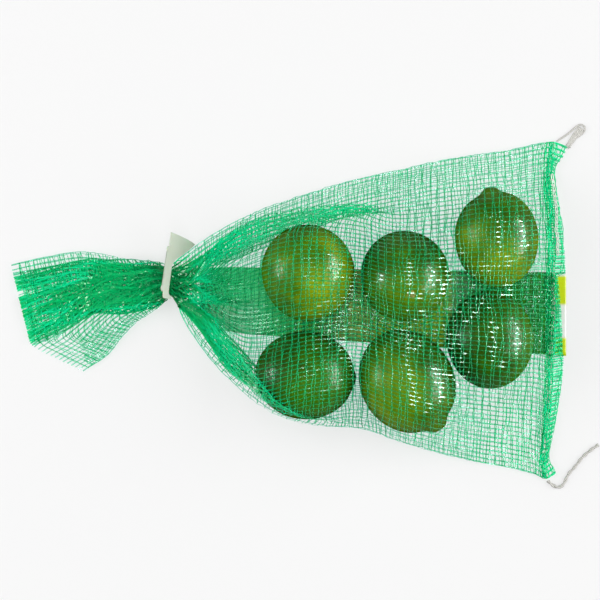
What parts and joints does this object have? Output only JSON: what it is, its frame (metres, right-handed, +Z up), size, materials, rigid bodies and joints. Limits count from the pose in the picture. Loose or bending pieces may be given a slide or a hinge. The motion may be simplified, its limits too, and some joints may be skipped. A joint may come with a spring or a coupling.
{
  "type": "net bag of limes",
  "caption": "Green leno net bag of limes lying flat, gathered at a plastic neck tab with a fan of spare netting, a sewn hem with thread ends and a plain film band along the underside.",
  "frame": {"origin": "middle of the bag's footprint on the table, under the film band", "axes": "+X from the gathered neck to the sewn hem, +Y to the bag's upper edge as pictured, +Z up off the table"},
  "size_m": [0.3231, 0.2005, 0.0577],
  "materials": {
    "green_netting": "thin glossy translucent green tape, woven open",
    "lime_peel": "waxy green peel with fine pores",
    "pale_plastic": "satin moulded plastic, pale green white",
    "printed_film": "thin film with plain fields of green, yellow-green and white",
    "seam_thread": "twisted off-white sewing thread"
  },
  "bodies": {
    "root": {"net_pack": "green_netting", "closure_tab": "pale_plastic", "label_band": "printed_film", "thread_loop": "seam_thread", "thread_tail": "seam_thread"}
  },
  "joints": []
}
